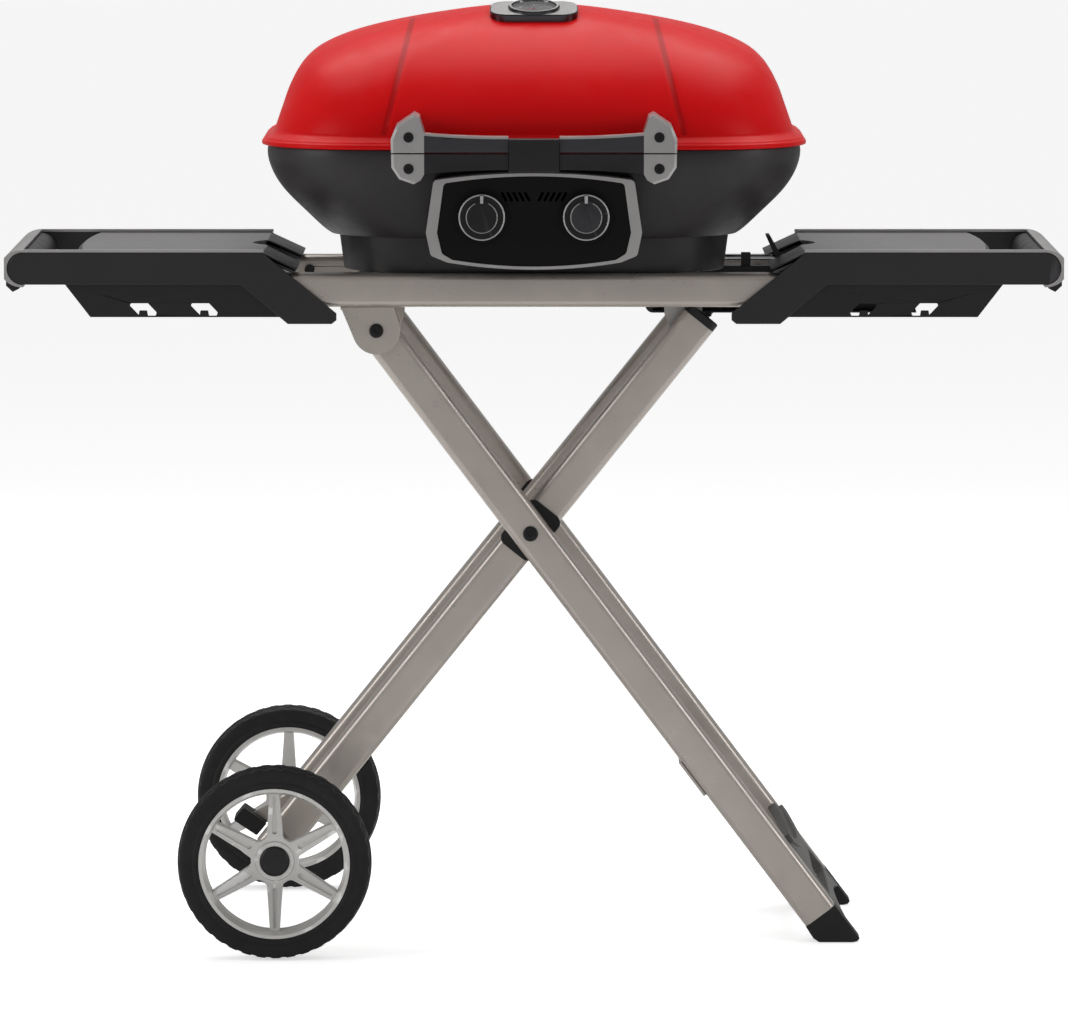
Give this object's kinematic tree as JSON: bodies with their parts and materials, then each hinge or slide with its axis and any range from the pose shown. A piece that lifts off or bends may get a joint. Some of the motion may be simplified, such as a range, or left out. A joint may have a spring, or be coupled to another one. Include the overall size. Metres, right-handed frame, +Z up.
{
  "type": "portable gas grill on folding cart",
  "caption": "Portable gas grill with a domed lid and side shelves on a folding scissor-leg cart with wheels, grids, burners and sliding drip pan.",
  "frame": {"origin": "on the ground, at the middle of the cart's width and half way between its two rails", "axes": "+X to the right of a user facing the control panel, +Y away from the user, +Z up"},
  "size_m": [1.118, 0.512, 0.9932],
  "materials": {
    "black_plastic": "matte",
    "black_steel": "satin black",
    "brass": "machined",
    "bright_steel": "satin",
    "cast_iron": "matte enamel",
    "chrome": "polished",
    "clear_glass": "clear",
    "dial_face": "matte",
    "firebox_charcoal": "textured satin enamel",
    "frame_silver": "warm satin silver paint",
    "grey_plastic": "matte",
    "handle_black": "satin",
    "lid_red": "gloss enamel",
    "rim_silver": "satin silver",
    "rubber": "matte",
    "tray_grey": "metallic",
    "trim_silver": "satin silver",
    "tyre": "matte",
    "zinc": "satin zinc"
  },
  "bodies": {
    "cart_frame": {"front_rail": "frame_silver", "rear_rail": "frame_silver", "rail_crossmembers": "frame_silver", "leg_brackets": "bright_steel", "pivot_pins": "zinc", "slide_tracks": "black_plastic", "left_shelf_frame": "black_plastic", "right_shelf_frame": "black_plastic", "shelf_trays": "tray_grey", "shelf_trims": "trim_silver", "shelf_tool_hooks": "black_steel", "frame_screws": "zinc", "firebox": "firebox_charcoal", "pedestal": "firebox_charcoal", "control_housing": "black_plastic", "control_trim": "trim_silver", "control_face": "handle_black", "burners": "bright_steel", "heat_plates": "bright_steel", "cooking_grids": "cast_iron", "gas_valves": "brass", "gas_manifold": "zinc", "regulator": "grey_plastic", "lower_handle": "handle_black", "lower_handle_brackets": "trim_silver", "hinge_brackets": "zinc"},
    "lid": {"lid_shell": "lid_red", "lid_hinge_arms": "zinc", "upper_handle": "handle_black", "upper_handle_brackets": "trim_silver", "upper_handle_bolts": "zinc", "thermometer_bezel": "chrome", "thermometer_dial": "dial_face", "thermometer_glass": "clear_glass"},
    "needle": {"thermometer_needle": "black_plastic"},
    "latch": {"lid_latch": "handle_black"},
    "left_stem": {"left_valve_stem": "zinc"},
    "right_stem": {"right_valve_stem": "zinc"},
    "left_control_knob": {"left_knob": "handle_black"},
    "right_control_knob": {"right_knob": "handle_black"},
    "outer_legs": {"outer_leg_tubes": "frame_silver", "outer_crossbar": "frame_silver", "foot_caps": "rubber", "transport_handle": "grey_plastic", "crossing_bolts": "zinc"},
    "inner_legs": {"inner_leg_tubes": "frame_silver", "inner_crossbar": "frame_silver", "inner_leg_caps": "black_plastic", "inner_leg_pads": "rubber", "wheel_axle": "zinc"},
    "slide_carriage": {"slide_carriages": "bright_steel", "slide_pins": "zinc"},
    "front_wheel": {"front_tyre": "tyre", "front_rim": "rim_silver", "front_hub_cap": "black_plastic"},
    "rear_wheel": {"rear_tyre": "tyre", "rear_rim": "rim_silver", "rear_hub_cap": "black_plastic"},
    "release": {"release_rod": "chrome"},
    "pan": {"drip_pan": "bright_steel"}
  },
  "joints": [
    {"name": "leg_fold", "type": "hinge", "parent": "cart_frame", "child": "outer_legs", "pos_m": [-0.1655, 0, 0.65], "axis": [0, -1, 0], "range_deg": [0, 48], "stiffness_Nm_per_rad": 400, "springref_deg": -45.84},
    {"name": "leg_crossing", "type": "hinge", "parent": "outer_legs", "child": "inner_legs", "pos_m": [-0.0037, 0, 0.4352], "axis": [0, -1, 0], "range_deg": [-96, 0]},
    {"name": "carriage_pivot", "type": "hinge", "parent": "inner_legs", "child": "slide_carriage", "pos_m": [0.1581, 0, 0.65], "axis": [0, -1, 0], "range_deg": [0, 48]},
    {"name": "front_wheel_spin", "type": "hinge", "parent": "inner_legs", "child": "front_wheel", "pos_m": [-0.271, -0.236, 0.1015], "axis": [0, 1, 0], "continuous": true},
    {"name": "rear_wheel_spin", "type": "hinge", "parent": "inner_legs", "child": "rear_wheel", "pos_m": [-0.271, 0.236, 0.1015], "axis": [0, 1, 0], "continuous": true},
    {"name": "lid_hinge", "type": "hinge", "parent": "cart_frame", "child": "lid", "pos_m": [0, 0.214, 0.856], "axis": [-1, 0, 0], "range_deg": [0, 80]},
    {"name": "latch_hinge", "type": "hinge", "parent": "lid", "child": "latch", "pos_m": [0, -0.252, 0.854], "axis": [-1, 0, 0], "range_deg": [-4, 60]},
    {"name": "left_valve_turn", "type": "hinge", "parent": "cart_frame", "child": "left_stem", "pos_m": [-0.054, -0.223, 0.7765], "axis": [0, -1, 0], "range_deg": [0, 180]},
    {"name": "right_valve_turn", "type": "hinge", "parent": "cart_frame", "child": "right_stem", "pos_m": [0.054, -0.223, 0.7765], "axis": [0, -1, 0], "range_deg": [0, 180]},
    {"name": "left_knob_press", "type": "slide", "parent": "left_stem", "child": "left_control_knob", "axis": [0, 1, 0], "range_m": [0, 0.004], "stiffness_N_per_m": 200},
    {"name": "right_knob_press", "type": "slide", "parent": "right_stem", "child": "right_control_knob", "axis": [0, 1, 0], "range_m": [0, 0.004], "stiffness_N_per_m": 200},
    {"name": "needle_turn", "type": "hinge", "parent": "lid", "child": "needle", "pos_m": [0, -0.0496, 0.98303], "axis": [0, 0.2164, -0.9763], "range_deg": [0, 240]},
    {"name": "rod_pull", "type": "slide", "parent": "cart_frame", "child": "release", "axis": [1, 0, 0], "range_m": [0, 0.015], "stiffness_N_per_m": 150},
    {"name": "pan_slide", "type": "slide", "parent": "cart_frame", "child": "pan", "axis": [0, 1, 0], "range_m": [0, 0.22]}
  ],
  "couplings": [
    {"joint": "leg_crossing", "follows": "leg_fold", "ratio": -2},
    {"joint": "carriage_pivot", "follows": "leg_fold", "ratio": 1}
  ]
}
